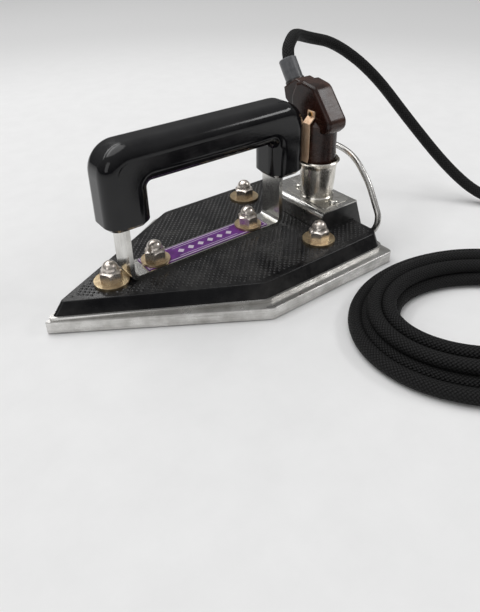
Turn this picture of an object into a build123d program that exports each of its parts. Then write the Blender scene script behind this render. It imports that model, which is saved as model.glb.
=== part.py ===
"""A heavy laundry iron with a wedge-shaped sole, a U-shaped grip and a plug-in mains cord.

Millimetres. The nose points to -X, the heel to +X, +Z is up. The origin is the middle of the sole's
face, on the surface that the iron stands on. Outlines are drawn in plan as a blunt wedge with a square
heel, and every layer of the stack is such an outline, inset a little from the one below.
"""
import os
from math import atan2, cos, pi, radians, sin, tan

from build123d import *

# ---------------------------------------------------------------- driving dimensions
# A plan outline is (nose x, shoulder x, half width, heel x).
SOLE_OUTLINE = (-115.9, 3.7, 75.2, 115.0)
SOLE_TOP = 8.9
SOLE_CORNERS = (1.0, 9.0, 3.5)
SOLE_CHAMFERS = (0.7, 0.4)

SHELL_FOOT = (-111.2, 4.4, 67.2, 112.3)
SHELL_CREST = (-104.6, 7.2, 62.1, 112.8)
SHELL_CORNERS = (2.0, 12.0, 7.0)
PLATE_TOP = 11.2
SHELL_TOP = 19.8
SHEET = 1.2
SHELL_EDGE = 1.0
PLATE_RIM = 1.4
BLOCK_TOP = 15.5
BLOCK_MARGIN = 6.0
CARD_MARGIN = 8.0
CARD_PLAY = 0.6
MICA = 0.5
RIBBON = 0.6
RIBBON_WIDTH = 5.0
RIBBON_PITCH = 12.0
RIBBON_REAR = 50.0
RIBBON_SHIFT = 1.5

STUD_RADIUS = 4.0
STUD_CLEARANCE = 0.2
STUD_SINK = 2.5
STUD_IN_NUT = 8.0
NOSE_STUD = (-68.8, 0.0)
HEEL_STUDS = ((70.7, -43.7), (70.7, 43.7))
STRAP_STUDS = ((-36.3, 0.0), (41.0, 0.0))

NUT_FLATS = 13.0
NUT_HEX = 7.4
NUT_HEIGHT = 13.7
NUT_CROWN = 1.3
DOME_RADIUS = 5.2
DOME_COLLAR = 5.7
WASHER_THICKNESS = 1.6
STUD_WASHER = 11.5
STRAP_WASHER = 9.8

STRAP_WIDTH = 19.4
STRAP_THICKNESS = 3.0
STRAP_FRONT = -59.4
STRAP_REAR = 65.4
STRAP_TOP = 71.5
STRAP_BEND = 3.0
# The label is (front x, rear x, width, sheet, corner radius).
LABEL = (-46.0, 53.0, 16.6, 0.4, 1.0)

GRIP_WIDTH = 29.0
GRIP_ROUND = 9.5
LEG_BOTTOM = 58.4
GRIP_TOP = 111.3
GRIP_UNDERSIDE = 84.3
LEG_FRONT = (-70.7, -40.6)
LEG_REAR = (55.4, 84.0)
LEG_DRAFT = 0.3
GRIP_OUTER_CORNER = 18.5
GRIP_INNER_CORNER = 2.6
LEG_CHAMFER = 3.0
TAB_PLAY = 0.1
PIN_RADIUS = 3.0
PIN_LENGTH = 13.0
PIN_HEIGHT = 65.0

BOX_FRONT = 80.9
BOX_REAR = 115.5
BOX_FOOT = 123.6
BOX_FOOT_Z = 10.4
BOX_TOP = 33.3
BOX_NEAR = -36.5
BOX_FAR = 25.5
BOX_WALL = 2.0
BOX_GAP = 0.3
COVER_SHEET = 1.0
COVER_BEND = 4.5

INLET_X = 99.2
INLET_Y = -10.3
PIN_SPACING = 12.0
INLET_PIN = 2.5
INLET_PIN_TOP = 57.0
INLET_PIN_TIP = 0.8
BUSH_RADIUS = 4.2
INSULATOR_RADIUS = 10.6
INSULATOR_TOP = 37.5
# The flange is (length along x, length along y, sheet, corner radius).
FLANGE = (26.0, 44.0, 0.5, 3.0)
FLANGE_PLAY = 0.1
FLANGE_SCREW = 18.0
# A screw is (shank radius, shank length or depth, head radius, head height, head edge round).
COVER_SCREW = (1.6, 6.0, 4.0, 2.2, 1.6)
SHROUD_RADIUS = 13.4
SHROUD_FOOT = 12.0
SHROUD_WALL = 0.9
SHROUD_FLARE_START = 58.0
SHROUD_TOP = 64.6
SHROUD_LIP = 15.7
SHROUD_BEAD = 0.9

LOOP_WIRE = 2.3
LOOP_BASE_X = 117.4
LOOP_BASE_Z = 13.0
LOOP_LEAN = 11.0
LOOP_SEAT = 1.5
LOOP_CREST = 53.0
LOOP_SIDE = ((53.0, 0.0), (56.4, 12.0), (39.0, 34.5), (20.5, 49.5))
LOOP_RADII = (6.0, 13.0, 60.0, 40.0)
LOOP_CREST_RADIUS = 50.0

BODY_RADIUS = 12.3
SPIGOT_RADIUS = 10.9
SPIGOT_BOTTOM = 44.0
BODY_BOTTOM = 62.6
BODY_SHOULDER = 91.0
BODY_TAPER = 4.0
HEAD_HALF = 8.8
HEAD_ROUND = 2.8
HEAD_NOSE_ROUND = 6.0
HEAD_CROWN_ROUND = 8.0
GLAND_HALF = 7.6
GLAND_ROUND = 1.4
CASE_SCREW = (1.5, 15.0, 2.9, 1.6, 1.0)
CASE_SCREW_PLACES = ((-19.0, 95.0), (4.0, 98.0))
CONTACT_OUTER = 3.6
CONTACT_PLAY = 0.05
CONTACT_WEB = 3.0
CONTACT_SINK = 1.0
CONTACT_TOP = 66.0
LEAD_RADIUS = 1.2
LEAD_END = 2.0
WIRE_CHAMBER = (9.0, 15.0, 30.0)
SLEEVE_FOOT = (17.4, 114.1)
SLEEVE_LEAN = 34.0
SLEEVE_LENGTH = 17.6
SLEEVE_SUNK = 9.0
SLEEVE_RADIUS = 6.5
SLEEVE_MOUTH = 5.4
SLEEVE_EDGE = 0.6
CORD_CHANNEL = 16.0
GLAND_POCKET = 10.0
# The ferrule is (outer radius, height, lift off the case).
FERRULE = (7.1, 1.6, 0.1)
SPRING_WIDTH = 6.8
SPRING_SHEET = 0.8
SPRING_REACH = 13.9
SPRING_FOOT_Z = 65.2
SPRING_HEAD_Z = 97.0
SPRING_KICK = (0.5, 3.0)
SPRING_STEP = 4.0
SPRING_PAD = 4.0
SPRING_PLAY = 0.05
SPRING_SLOT = (3.0, 0.2)
# A rivet is (radius, head height, lift up the spring's pad).
SPRING_RIVET = (1.5, 1.1, 2.0)

CORD_RADIUS = 4.5
CORD_FLOOR = 4.6
COIL_CENTRE = (109.8, -159.8)
COIL_OUTER = (93.0, 74.0, -17.3)
COIL_EYE = (104.2, -156.0)
COIL_INNER = (51.0, 34.6, -27.6)
COIL_HEIGHT = 18.0
COIL_STUBS = (38.0, 34.0)
PLUG_GLAND_LENGTH = 24.0
PLUG_RADIUS = 14.0
PLUG_LENGTH = 26.0
PLUG_SHOULDER = 15.6
PLUG_SOCKET = 9.1
PLUG_EDGE = 1.0
# Radii that the tail's gland and the plug's back add to the cord's own.
PLUG_GLAND = (0.6, 2.6)
PLUG_NECK = 3.6
# A plug pin is (radius, spacing, free length, radius of the root moulded into the plug).
PLUG_PIN = (2.4, 19.0, 19.0, 2.0)


# ---------------------------------------------------------------- shared shapes
def inset(outline, gap):
    """Move every side of a plan outline inwards by one gap."""
    nose, shoulder, half_width, heel = outline
    half_angle = atan2(half_width, shoulder - nose)
    return (
        nose + gap / sin(half_angle),
        shoulder + gap * tan(half_angle / 2),
        half_width - gap,
        heel - gap,
    )


def plan(outline, height, corners=SHELL_CORNERS):
    """Draw a plan outline at one height, with rounded nose, shoulders and heel corners."""
    nose, shoulder, half_width, heel = outline
    nose_radius, shoulder_radius, heel_radius = corners
    with BuildSketch(Plane.XY.offset(height)) as sketch:
        with BuildLine():
            Polyline(
                (nose, 0),
                (shoulder, -half_width),
                (heel, -half_width),
                (heel, half_width),
                (shoulder, half_width),
                close=True,
            )
        make_face()
        fillet(sketch.vertices().group_by(Axis.X)[0], nose_radius)
        fillet(sketch.vertices().group_by(Axis.X)[-1], heel_radius)
        shoulders = [v for v in sketch.vertices() if abs(v.X - shoulder) < 0.01]
        fillet(shoulders, shoulder_radius)
    return sketch.sketch


def discs(places, radius, height):
    """Draw a disc at each place, at one height."""
    with BuildSketch(Plane.XY.offset(height)) as sketch:
        with Locations(*places):
            Circle(radius)
    return sketch.sketch


def holes(places, radius, bottom, top):
    """Cut round holes through the part being built, from one height to another."""
    extrude(discs(places, radius, bottom), amount=top - bottom, mode=Mode.SUBTRACT)


def rods(places, radius, bottom, top):
    """Add round rods to the part being built, from one height to another."""
    extrude(discs(places, radius, bottom), amount=top - bottom)


def rings(places, outer, inner, bottom, height):
    """Add flat rings to the part being built."""
    rods(places, outer, bottom, bottom + height)
    holes(places, inner, bottom, bottom + height)


def finish(part, name):
    """Label a finished piece and write its file."""
    part.label = name
    export_step(part, f"parts/{name}.step")


os.makedirs("parts", exist_ok=True)

ALL_STUDS = (NOSE_STUD, *HEEL_STUDS)
INLET_PINS = tuple((INLET_X, INLET_Y + side * PIN_SPACING / 2) for side in (-1, 1))
STUD_HOLE = STUD_RADIUS + STUD_CLEARANCE
CARD_BOTTOM = SOLE_TOP
CARD_TOP = CARD_BOTTOM + 2 * MICA + RIBBON
STRAP_FLAT_TOP = SHELL_TOP + STRAP_THICKNESS
LABEL_TOP = STRAP_FLAT_TOP + LABEL[3]

# ---------------------------------------------------------------- sole and heating stack
with BuildPart() as soleplate:
    extrude(plan(SOLE_OUTLINE, 0, SOLE_CORNERS), amount=SOLE_TOP)
    chamfer(soleplate.faces().sort_by(Axis.Z)[0].edges(), SOLE_CHAMFERS[0])
    chamfer(soleplate.faces().sort_by(Axis.Z)[-1].edges(), SOLE_CHAMFERS[1])
    holes(ALL_STUDS, STUD_RADIUS, STUD_SINK, SOLE_TOP)
finish(soleplate.part, "soleplate")

with BuildPart() as pressure_plate:
    extrude(plan(inset(SHELL_FOOT, -PLATE_RIM), SOLE_TOP), amount=PLATE_TOP - SOLE_TOP)
    extrude(plan(inset(SHELL_FOOT, BLOCK_MARGIN), PLATE_TOP), amount=BLOCK_TOP - PLATE_TOP)
    card_recess = plan(inset(SHELL_FOOT, CARD_MARGIN), CARD_BOTTOM)
    extrude(card_recess, amount=CARD_TOP - CARD_BOTTOM, mode=Mode.SUBTRACT)
    holes(ALL_STUDS, STUD_HOLE, SOLE_TOP, BLOCK_TOP)
    holes(STRAP_STUDS, STUD_RADIUS, CARD_TOP, BLOCK_TOP)
    holes(INLET_PINS, BUSH_RADIUS, CARD_TOP, BLOCK_TOP)
finish(pressure_plate.part, "pressure_plate")


def mica_sheet(bottom, with_pins):
    """Build one mica sheet of the heating stack, on its height."""
    with BuildPart() as sheet:
        extrude(plan(inset(SHELL_FOOT, CARD_MARGIN + CARD_PLAY), bottom), amount=MICA)
        holes(ALL_STUDS, STUD_HOLE, bottom, bottom + MICA)
        if with_pins:
            holes(INLET_PINS, INLET_PIN, bottom, bottom + MICA)
    return sheet.part


finish(mica_sheet(CARD_BOTTOM, False), "lower_mica")
finish(mica_sheet(CARD_BOTTOM + MICA + RIBBON, True), "upper_mica")

card_nose, card_shoulder, card_half, _ = inset(SHELL_FOOT, CARD_MARGIN + RIBBON_WIDTH / 2)
CARD_SLOPE = (card_shoulder - card_nose) / card_half
RIBBON_YS = [RIBBON_PITCH * (step + 0.5) + RIBBON_SHIFT for step in range(4)]

with BuildPart() as heating_element:
    with BuildSketch(Plane.XY.offset(CARD_BOTTOM + MICA)):
        for side in (-1, 1):
            for pair in (0, 2):
                inner_y, outer_y = RIBBON_YS[pair], RIBBON_YS[pair + 1]
                front = card_nose + (outer_y + RIBBON_WIDTH) * CARD_SLOPE
                span = RIBBON_REAR - front
                for run_y in (inner_y, outer_y):
                    with Locations((front + span / 2, side * run_y)):
                        Rectangle(span, RIBBON_WIDTH)
                with Locations((front + RIBBON_WIDTH / 2, side * (inner_y + outer_y) / 2)):
                    Rectangle(RIBBON_WIDTH, RIBBON_PITCH + RIBBON_WIDTH)
            link_y = (RIBBON_YS[1] + RIBBON_YS[2]) / 2
            with Locations((RIBBON_REAR - RIBBON_WIDTH / 2, side * link_y)):
                Rectangle(RIBBON_WIDTH, RIBBON_PITCH + RIBBON_WIDTH)
        with Locations((RIBBON_REAR - RIBBON_WIDTH / 2, 0)):
            Rectangle(RIBBON_WIDTH, 2 * RIBBON_YS[0] + RIBBON_WIDTH)
        for side, (pin_x, pin_y) in zip((-1, 1), INLET_PINS):
            outer_y = side * RIBBON_YS[3]
            bus_x = RIBBON_REAR + RIBBON_WIDTH * 1.5
            with Locations(((RIBBON_REAR + bus_x) / 2, outer_y)):
                Rectangle(bus_x - RIBBON_REAR + RIBBON_WIDTH, RIBBON_WIDTH)
            with Locations((bus_x, (outer_y + pin_y) / 2)):
                Rectangle(RIBBON_WIDTH, abs(outer_y - pin_y) + RIBBON_WIDTH)
            with Locations(((bus_x + pin_x) / 2, pin_y)):
                Rectangle(pin_x - bus_x + RIBBON_WIDTH, RIBBON_WIDTH)
    extrude(amount=RIBBON)
finish(heating_element.part, "heating_element")

with BuildPart() as insulation_board:
    board_face = plan(inset(SHELL_FOOT, CARD_MARGIN + CARD_PLAY), BLOCK_TOP)
    extrude(board_face, amount=SHELL_TOP - SHEET - BLOCK_TOP)
    holes((*ALL_STUDS, *STRAP_STUDS), STUD_HOLE, BLOCK_TOP, SHELL_TOP)
    holes(INLET_PINS, BUSH_RADIUS, BLOCK_TOP, SHELL_TOP)
finish(insulation_board.part, "insulation_board")

with BuildPart() as top_cover:
    loft([plan(SHELL_FOOT, PLATE_TOP), plan(SHELL_CREST, SHELL_TOP)])
    fillet(top_cover.faces().group_by(Axis.Z)[-1].edges(), SHELL_EDGE)
    inside_foot = plan(inset(SHELL_FOOT, SHEET), PLATE_TOP)
    inside_crest = plan(inset(SHELL_CREST, SHEET), SHELL_TOP - SHEET)
    loft([inside_foot, inside_crest], mode=Mode.SUBTRACT)
    holes((*ALL_STUDS, *STRAP_STUDS), STUD_HOLE, PLATE_TOP, SHELL_TOP)
    holes(INLET_PINS, BUSH_RADIUS, PLATE_TOP, SHELL_TOP)
finish(top_cover.part, "top_cover")

# ---------------------------------------------------------------- studs, washers and acorn nuts
STUD_SEAT = SHELL_TOP + WASHER_THICKNESS
STRAP_SEAT = LABEL_TOP + WASHER_THICKNESS

with BuildPart() as clamp_studs:
    rods(ALL_STUDS, STUD_RADIUS, STUD_SINK, STUD_SEAT + STUD_IN_NUT)
finish(clamp_studs.part, "clamp_studs")

with BuildPart() as strap_studs:
    rods(STRAP_STUDS, STUD_RADIUS, CARD_TOP, STRAP_SEAT + STUD_IN_NUT)
finish(strap_studs.part, "strap_studs")

with BuildPart() as clamp_washers:
    rings(ALL_STUDS, STUD_WASHER, STUD_HOLE, SHELL_TOP, WASHER_THICKNESS)
finish(clamp_washers.part, "clamp_washers")

with BuildPart() as strap_washers:
    rings(STRAP_STUDS, STRAP_WASHER, STUD_HOLE, LABEL_TOP, WASHER_THICKNESS)
finish(strap_washers.part, "strap_washers")


def acorn_nut(x, y, seat):
    """Build one domed nut standing on its seat: a crowned hexagon, a conical collar and a ball top."""
    crown_radius = NUT_FLATS / 2 / cos(pi / 6)
    dome_centre = NUT_HEIGHT - DOME_RADIUS
    with BuildPart() as nut:
        with BuildSketch(Plane.XY.offset(seat)):
            with Locations((x, y)):
                RegularPolygon(NUT_FLATS / 2, 6, major_radius=False)
        extrude(amount=NUT_HEX)
        with BuildSketch(Plane.XZ.offset(-y)):
            with BuildLine():
                Polyline(
                    (x, seat),
                    (x + crown_radius, seat),
                    (x + crown_radius, seat + NUT_HEX - NUT_CROWN),
                    (x + DOME_COLLAR, seat + NUT_HEX),
                    (x, seat + NUT_HEX),
                    close=True,
                )
            make_face()
        revolve(axis=Axis((x, y, 0), (0, 0, 1)), mode=Mode.INTERSECT)
        with BuildSketch(Plane.XZ.offset(-y)):
            with BuildLine():
                Polyline(
                    (x, seat + dome_centre + DOME_RADIUS),
                    (x, seat),
                    (x + DOME_COLLAR, seat),
                    (x + DOME_COLLAR, seat + NUT_HEX),
                    (x + DOME_RADIUS, seat + dome_centre),
                )
                RadiusArc(
                    (x + DOME_RADIUS, seat + dome_centre),
                    (x, seat + dome_centre + DOME_RADIUS),
                    -DOME_RADIUS,
                )
            make_face()
        revolve(axis=Axis((x, y, 0), (0, 0, 1)))
        holes([(x, y)], STUD_RADIUS, seat, seat + STUD_IN_NUT)
    return nut.part


for name, places, seat in (("clamp_nuts", ALL_STUDS, STUD_SEAT), ("strap_nuts", STRAP_STUDS, STRAP_SEAT)):
    with BuildPart() as nuts:
        for nut_x, nut_y in places:
            add(acorn_nut(nut_x, nut_y, seat))
    finish(nuts.part, name)

# ---------------------------------------------------------------- handle strap, label and grip
with BuildPart() as handle_strap:
    middle = (STRAP_FRONT + STRAP_REAR) / 2
    reach = STRAP_REAR - STRAP_FRONT
    rise = STRAP_TOP - SHELL_TOP
    outer_bend = STRAP_BEND + STRAP_THICKNESS
    with BuildSketch(Plane.XZ) as strap_section:
        with Locations((middle, SHELL_TOP + rise / 2)):
            Rectangle(reach, rise)
        fillet(strap_section.vertices().group_by(Axis.Y)[0], outer_bend)
    extrude(amount=STRAP_WIDTH / 2, both=True)
    with BuildSketch(Plane.XZ) as strap_inside:
        with Locations((middle, STRAP_FLAT_TOP + rise / 2)):
            Rectangle(reach - 2 * STRAP_THICKNESS, rise)
        fillet(strap_inside.vertices().group_by(Axis.Y)[0], STRAP_BEND)
    extrude(amount=STRAP_WIDTH, both=True, mode=Mode.SUBTRACT)
    holes(STRAP_STUDS, STUD_HOLE, SHELL_TOP, STRAP_FLAT_TOP)
    with BuildSketch(Plane.YZ.offset(STRAP_FRONT)):
        with Locations((0, PIN_HEIGHT)):
            Circle(PIN_RADIUS)
    extrude(amount=reach, mode=Mode.SUBTRACT)
finish(handle_strap.part, "handle_strap")

with BuildPart() as name_plate:
    label_front, label_rear, label_width, label_sheet, label_corner = LABEL
    with BuildSketch(Plane.XY.offset(STRAP_FLAT_TOP)) as label_face:
        with Locations(((label_front + label_rear) / 2, 0)):
            Rectangle(label_rear - label_front, label_width)
        fillet(label_face.vertices(), label_corner)
    extrude(amount=label_sheet)
    holes(STRAP_STUDS, STUD_HOLE, STRAP_FLAT_TOP, LABEL_TOP)
finish(name_plate.part, "name_plate")

with BuildPart() as handle_grip:
    with BuildSketch(Plane.XZ) as grip_side:
        with BuildLine():
            Polyline(
                (LEG_FRONT[0], LEG_BOTTOM),
                (LEG_FRONT[0] + LEG_DRAFT, GRIP_TOP),
                (LEG_REAR[1] - LEG_DRAFT, GRIP_TOP),
                (LEG_REAR[1], LEG_BOTTOM),
                (LEG_REAR[0], LEG_BOTTOM),
                (LEG_REAR[0], GRIP_UNDERSIDE),
                (LEG_FRONT[1], GRIP_UNDERSIDE),
                (LEG_FRONT[1], LEG_BOTTOM),
                close=True,
            )
        make_face()
        fillet(grip_side.vertices().group_by(Axis.Y)[-1], GRIP_OUTER_CORNER)
        inner_corners = [v for v in grip_side.vertices() if abs(v.Y - GRIP_UNDERSIDE) < 0.01]
        fillet(inner_corners, GRIP_INNER_CORNER)
    extrude(amount=GRIP_WIDTH / 2, both=True)
    for side in (0, -1):
        side_edges = handle_grip.faces().sort_by(Axis.Y)[side].edges()
        fillet(side_edges.filter_by(lambda edge: edge.center().Z > LEG_BOTTOM + 0.01), GRIP_ROUND)
    chamfer(handle_grip.faces().group_by(Axis.Z)[0].edges(), LEG_CHAMFER)
    for tab_x in (STRAP_FRONT + STRAP_THICKNESS / 2, STRAP_REAR - STRAP_THICKNESS / 2):
        with BuildSketch(Plane.XY.offset(LEG_BOTTOM)):
            with Locations((tab_x, 0)):
                Rectangle(STRAP_THICKNESS + 2 * TAB_PLAY, STRAP_WIDTH + 2 * TAB_PLAY)
        extrude(amount=STRAP_TOP + TAB_PLAY - LEG_BOTTOM, mode=Mode.SUBTRACT)
        with BuildSketch(Plane.YZ.offset(tab_x - PIN_LENGTH / 2)):
            with Locations((0, PIN_HEIGHT)):
                Circle(PIN_RADIUS)
        extrude(amount=PIN_LENGTH, mode=Mode.SUBTRACT)
finish(handle_grip.part, "handle_grip")

with BuildPart() as grip_pins:
    for tab_x in (STRAP_FRONT + STRAP_THICKNESS / 2, STRAP_REAR - STRAP_THICKNESS / 2):
        with BuildSketch(Plane.YZ.offset(tab_x - PIN_LENGTH / 2)):
            with Locations((0, PIN_HEIGHT)):
                Circle(PIN_RADIUS)
        extrude(amount=PIN_LENGTH)
finish(grip_pins.part, "grip_pins")

# ---------------------------------------------------------------- terminal box and its cover
BOX_DEPTH = BOX_FAR - BOX_NEAR
BOX_SIDE = Plane.XZ.offset(-BOX_FAR)


def box_outline(margin):
    """Draw the side view of the terminal box, which hangs over the heel of the shell."""
    lean = (BOX_FOOT - BOX_REAR) / (BOX_TOP - BOX_FOOT_Z)
    overhang = SHELL_FOOT[3] + PLATE_RIM + BOX_GAP
    with BuildSketch(BOX_SIDE.offset(margin)) as sketch:
        with BuildLine():
            Polyline(
                (BOX_FRONT + margin, SHELL_TOP + margin),
                (overhang + margin, SHELL_TOP + margin),
                (overhang + margin, BOX_FOOT_Z + margin),
                (BOX_FOOT - margin - lean * margin, BOX_FOOT_Z + margin),
                (BOX_REAR - margin, BOX_TOP),
                (BOX_FRONT + margin, BOX_TOP),
                close=True,
            )
        make_face()
        if margin == 0:
            front_top = sketch.vertices().group_by(Axis.Y)[-1].sort_by(Axis.X)[0]
            fillet(front_top, COVER_BEND - COVER_SHEET)
    return sketch.sketch


with BuildPart() as terminal_box:
    extrude(box_outline(0), amount=BOX_DEPTH)
    extrude(box_outline(BOX_WALL), amount=BOX_DEPTH - 2 * BOX_WALL, mode=Mode.SUBTRACT)
    holes(INLET_PINS, BUSH_RADIUS, SHELL_TOP, SHELL_TOP + BOX_WALL)
    with BuildSketch(Plane.XZ.offset(-BOX_FAR)):
        with Locations((LOOP_BASE_X, LOOP_BASE_Z)):
            Circle(LOOP_WIRE)
    extrude(amount=BOX_DEPTH, mode=Mode.SUBTRACT)
finish(terminal_box.part, "terminal_box")

with BuildPart() as terminal_cover:
    cover_front = BOX_FRONT - COVER_SHEET
    cover_top = BOX_TOP + COVER_SHEET
    with BuildSketch(BOX_SIDE):
        with BuildLine():
            outside = FilletPolyline(
                (cover_front, SHELL_TOP + BOX_GAP),
                (cover_front, cover_top),
                (BOX_REAR, cover_top),
                radius=COVER_BEND,
            )
            inside = FilletPolyline(
                (BOX_FRONT, SHELL_TOP + BOX_GAP),
                (BOX_FRONT, BOX_TOP),
                (BOX_REAR, BOX_TOP),
                radius=COVER_BEND - COVER_SHEET,
            )
            Line(outside @ 0, inside @ 0)
            Line(outside @ 1, inside @ 1)
        make_face()
    extrude(amount=BOX_DEPTH)
    holes([(INLET_X, INLET_Y)], INSULATOR_RADIUS, BOX_TOP, cover_top)
    screw_places = [(INLET_X, INLET_Y + side * FLANGE_SCREW) for side in (-1, 1)]
    holes(screw_places, COVER_SCREW[0], BOX_TOP, cover_top)
finish(terminal_cover.part, "terminal_cover")

# ---------------------------------------------------------------- inlet: insulator, pins and shroud
FLANGE_BOTTOM = BOX_TOP + COVER_SHEET
FLANGE_TOP = FLANGE_BOTTOM + FLANGE[2]

with BuildPart() as inlet_insulator:
    rods([(INLET_X, INLET_Y)], INSULATOR_RADIUS, SHELL_TOP + BOX_WALL, INSULATOR_TOP)
    holes(INLET_PINS, INLET_PIN, SHELL_TOP, INSULATOR_TOP)
finish(inlet_insulator.part, "inlet_insulator")

with BuildPart() as pin_bushes:
    rings(INLET_PINS, BUSH_RADIUS, INLET_PIN, CARD_TOP, SHELL_TOP + BOX_WALL - CARD_TOP)
finish(pin_bushes.part, "pin_bushes")

with BuildPart() as inlet_pins:
    rods(INLET_PINS, INLET_PIN, CARD_BOTTOM + MICA + RIBBON, INLET_PIN_TOP)
    chamfer(inlet_pins.faces().group_by(Axis.Z)[-1].edges(), INLET_PIN_TIP)
finish(inlet_pins.part, "inlet_pins")

with BuildPart() as shroud_flange:
    with BuildSketch(Plane.XY.offset(FLANGE_BOTTOM)) as flange_face:
        with Locations((INLET_X, INLET_Y)):
            Rectangle(FLANGE[0], FLANGE[1])
            Circle(INSULATOR_RADIUS + FLANGE_PLAY, mode=Mode.SUBTRACT)
        with Locations(*screw_places):
            Circle(COVER_SCREW[0], mode=Mode.SUBTRACT)
        corners = [v for v in flange_face.vertices() if abs(abs(v.X - INLET_X) - FLANGE[0] / 2) < 0.01]
        fillet(corners, FLANGE[3])
    extrude(amount=FLANGE[2])
finish(shroud_flange.part, "shroud_flange")

with BuildPart() as flange_screws:
    shank, depth, head, head_height, head_round = COVER_SCREW
    rods(screw_places, shank, FLANGE_TOP - depth, FLANGE_TOP)
    rods(screw_places, head, FLANGE_TOP, FLANGE_TOP + head_height)
    fillet(flange_screws.faces().group_by(Axis.Z)[-1].edges(), head_round)
finish(flange_screws.part, "flange_screws")

with BuildPart() as shroud:
    inner_start = (INLET_X + SHROUD_RADIUS - SHROUD_WALL, SHROUD_FLARE_START)
    outer_start = (INLET_X + SHROUD_RADIUS, SHROUD_FLARE_START)
    lip_outside = (INLET_X + SHROUD_LIP, SHROUD_TOP - SHROUD_WALL)
    lip_inside = (INLET_X + SHROUD_LIP - SHROUD_WALL, SHROUD_TOP)
    with BuildSketch(Plane.XZ.offset(-INLET_Y)):
        with BuildLine():
            Polyline(
                inner_start,
                (INLET_X + SHROUD_FOOT - SHROUD_WALL, FLANGE_TOP),
                (INLET_X + SHROUD_FOOT + SHROUD_BEAD, FLANGE_TOP),
                (INLET_X + SHROUD_FOOT + SHROUD_BEAD, FLANGE_TOP + SHROUD_BEAD),
                (INLET_X + SHROUD_FOOT, FLANGE_TOP + 2 * SHROUD_BEAD),
                outer_start,
            )
            TangentArc(outer_start, lip_outside, tangent=(0, 1))
            Line(lip_outside, lip_inside)
            TangentArc(inner_start, lip_inside, tangent=(0, 1))
        make_face()
    revolve(axis=Axis((INLET_X, INLET_Y, 0), (0, 0, 1)))
finish(shroud.part, "shroud")

# ---------------------------------------------------------------- heel rest loop
LOOP_PLANE = Plane(
    origin=(LOOP_BASE_X, 0, LOOP_BASE_Z),
    x_dir=(0, 1, 0),
    z_dir=(cos(radians(LOOP_LEAN)), 0, -sin(radians(LOOP_LEAN))),
)

with BuildPart() as heel_rest_loop:
    near_side = [(-across, up) for across, up in LOOP_SIDE]
    far_side = [(across, up) for across, up in reversed(LOOP_SIDE)]
    with BuildLine(LOOP_PLANE) as loop_path:
        FilletPolyline(
            (BOX_NEAR + LOOP_SEAT, 0),
            *near_side,
            (0, LOOP_CREST),
            *far_side,
            (BOX_FAR - LOOP_SEAT, 0),
            radius=[*LOOP_RADII, LOOP_CREST_RADIUS, *reversed(LOOP_RADII)],
        )
    wire = loop_path.wires()[0]
    with BuildSketch(Plane(origin=wire @ 0, z_dir=wire % 0)):
        Circle(LOOP_WIRE)
    sweep(path=wire)
finish(heel_rest_loop.part, "heel_rest_loop")

# ---------------------------------------------------------------- cord connector
SLEEVE_AXIS = Vector(0, sin(radians(SLEEVE_LEAN)), cos(radians(SLEEVE_LEAN)))
SLEEVE_BASE = Vector(INLET_X, *SLEEVE_FOOT)
GLAND_PLANE = Plane(origin=SLEEVE_BASE, z_dir=SLEEVE_AXIS)
SUNK_PLANE = GLAND_PLANE.offset(-SLEEVE_SUNK)
HEAD_CROWN = (-10.6, 117.6)
HEAD_OUTLINE = (
    (-23.6, 86.6),
    (-28.0, 90.6),
    (-28.0, 96.2),
    HEAD_CROWN,
    (1.0, 119.6),
    (8.0, 117.6),
    (12.5, 107.0),
    (12.0, 90.0),
    (1.8, 84.0),
)
GLAND_OUTLINE = (
    (2.0, 118.0),
    (9.6, 119.3),
    (22.0, 110.9),
    (20.0, 103.0),
    (8.0, 94.0),
)


def gland_block():
    """Build the narrow block at the back of the head, which holds the cord's sleeve."""
    with BuildPart() as block:
        with BuildSketch(Plane.YZ.offset(INLET_X - GLAND_HALF)):
            with BuildLine():
                Polyline(*GLAND_OUTLINE, close=True)
            make_face()
        extrude(amount=2 * GLAND_HALF)
        for side in (0, -1):
            fillet(block.faces().group_by(Axis.X)[side].edges(), GLAND_ROUND)
    return block.part


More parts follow.
